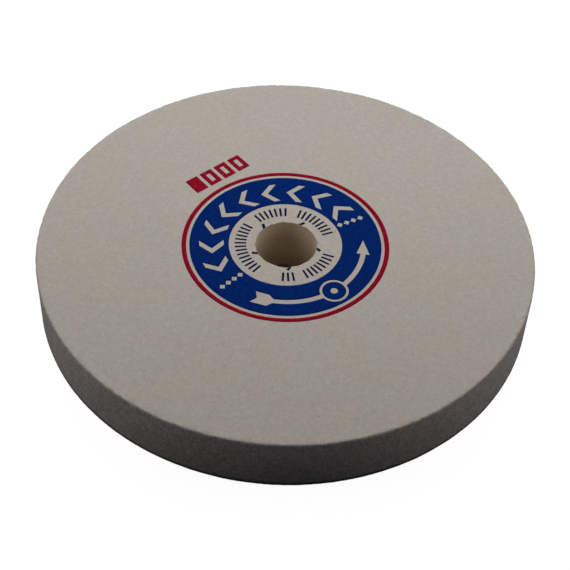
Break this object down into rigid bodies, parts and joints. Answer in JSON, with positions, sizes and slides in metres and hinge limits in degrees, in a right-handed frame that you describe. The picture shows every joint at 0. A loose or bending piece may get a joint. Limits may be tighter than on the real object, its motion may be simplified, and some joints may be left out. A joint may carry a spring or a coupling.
{
  "type": "felt polishing wheel",
  "caption": "Thick round disc of pressed wool felt with a plain arbor hole, for polishing stones, with a printed mark on one face.",
  "frame": {"origin": "centre of the unprinted back face, on the arbor hole's axis, where the wheel lies on a surface", "axes": "+Z along the arbor hole, out of the printed face; +X is to the right for a reader in front of the wheel, and the grade mark lies up and to the left, between +Y and -X"},
  "size_m": [0.2032, 0.2032, 0.0254],
  "materials": {
    "wool_felt": "pressed wool felt, matt",
    "blue_ink": "screen ink soaked into felt, matt",
    "red_ink": "screen ink soaked into felt, matt",
    "navy_ink": "screen ink soaked into felt, matt"
  },
  "bodies": {
    "root": {"felt_wheel": "wool_felt", "blue_band_print": "blue_ink", "red_ring_print": "red_ink", "red_grade_print": "red_ink", "navy_legend_print": "navy_ink", "navy_tick_print": "navy_ink"}
  },
  "joints": []
}
